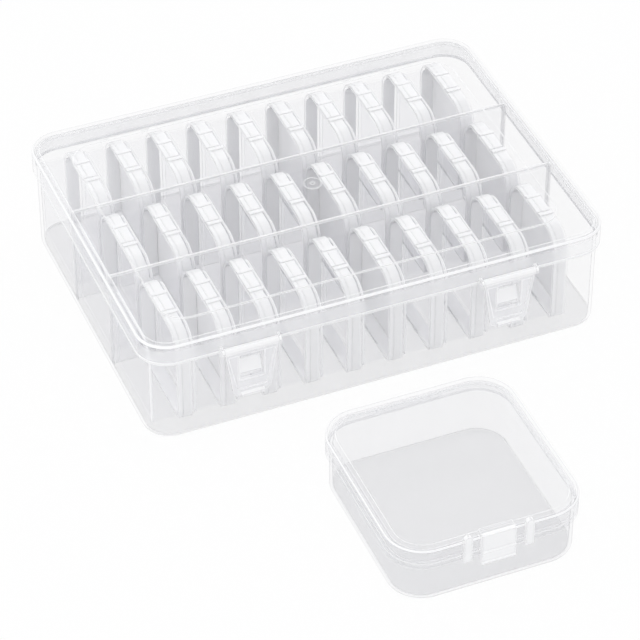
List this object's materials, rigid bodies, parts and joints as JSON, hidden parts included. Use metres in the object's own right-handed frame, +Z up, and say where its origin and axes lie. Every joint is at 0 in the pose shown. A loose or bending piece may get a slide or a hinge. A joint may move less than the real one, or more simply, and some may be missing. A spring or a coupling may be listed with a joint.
{
  "type": "compartment organizer box",
  "caption": "Clear latched storage case with rows of small upright lidded boxes between dividers, and a larger lidded box of the same make beside it.",
  "frame": {"origin": "middle of the case's flat underside", "axes": "+X to the right seen from the front, -Y out of the front with the latches, +Z up"},
  "size_m": [0.245, 0.3384, 0.0604],
  "materials": {
    "case_plastic": "clear, glossy moulded plastic",
    "lid_plastic": "clear, glossy moulded plastic",
    "latch_plastic": "clear, slightly frosted moulded plastic",
    "box_plastic": "clear, glossy moulded plastic"
  },
  "bodies": {
    "root": {"case_tray": "case_plastic", "rear_divider": "case_plastic", "front_divider": "case_plastic", "front_box_base_01": "box_plastic", "front_box_base_02": "box_plastic", "front_box_base_03": "box_plastic", "front_box_base_04": "box_plastic", "front_box_base_05": "box_plastic", "front_box_base_06": "box_plastic", "front_box_base_07": "box_plastic", "front_box_base_08": "box_plastic", "front_box_base_09": "box_plastic", "front_box_base_10": "box_plastic", "middle_box_base_01": "box_plastic", "middle_box_base_02": "box_plastic", "middle_box_base_03": "box_plastic", "middle_box_base_04": "box_plastic", "middle_box_base_05": "box_plastic", "middle_box_base_06": "box_plastic", "middle_box_base_07": "box_plastic", "middle_box_base_08": "box_plastic", "middle_box_base_09": "box_plastic", "middle_box_base_10": "box_plastic", "rear_box_base_01": "box_plastic", "rear_box_base_02": "box_plastic", "rear_box_base_03": "box_plastic", "rear_box_base_04": "box_plastic", "rear_box_base_05": "box_plastic", "rear_box_base_06": "box_plastic", "rear_box_base_07": "box_plastic", "rear_box_base_08": "box_plastic", "rear_box_base_09": "box_plastic", "rear_box_base_10": "box_plastic", "box_lids_column_01": "box_plastic", "box_lids_column_02": "box_plastic", "box_lids_column_03": "box_plastic", "box_lids_column_04": "box_plastic", "box_lids_column_05": "box_plastic", "box_lids_column_06": "box_plastic", "box_lids_column_07": "box_plastic", "box_lids_column_08": "box_plastic", "box_lids_column_09": "box_plastic", "box_lids_column_10": "box_plastic", "large_box_base": "box_plastic"},
    "case_lid": {"case_lid": "lid_plastic"},
    "left_latch": {"left_latch": "latch_plastic"},
    "right_latch": {"right_latch": "latch_plastic"},
    "large_box_lid": {"large_box_lid": "box_plastic"}
  },
  "joints": [
    {"name": "case_lid_hinge", "type": "hinge", "parent": "root", "child": "case_lid", "pos_m": [0, 0.0941, 0.0475], "axis": [-1, 0, 0], "range_deg": [0, 180]},
    {"name": "left_latch_hinge", "type": "hinge", "parent": "case_lid", "child": "left_latch", "pos_m": [-0.0702, -0.0938, 0.05], "axis": [-1, 0, 0], "range_deg": [0, 100]},
    {"name": "right_latch_hinge", "type": "hinge", "parent": "case_lid", "child": "right_latch", "pos_m": [0.0658, -0.0938, 0.05], "axis": [-1, 0, 0], "range_deg": [0, 100]},
    {"name": "large_box_lid_hinge", "type": "hinge", "parent": "root", "child": "large_box_lid", "pos_m": [-0.0071, -0.1337, 0.0244], "axis": [-1, 0, 0], "range_deg": [0, 120]}
  ]
}
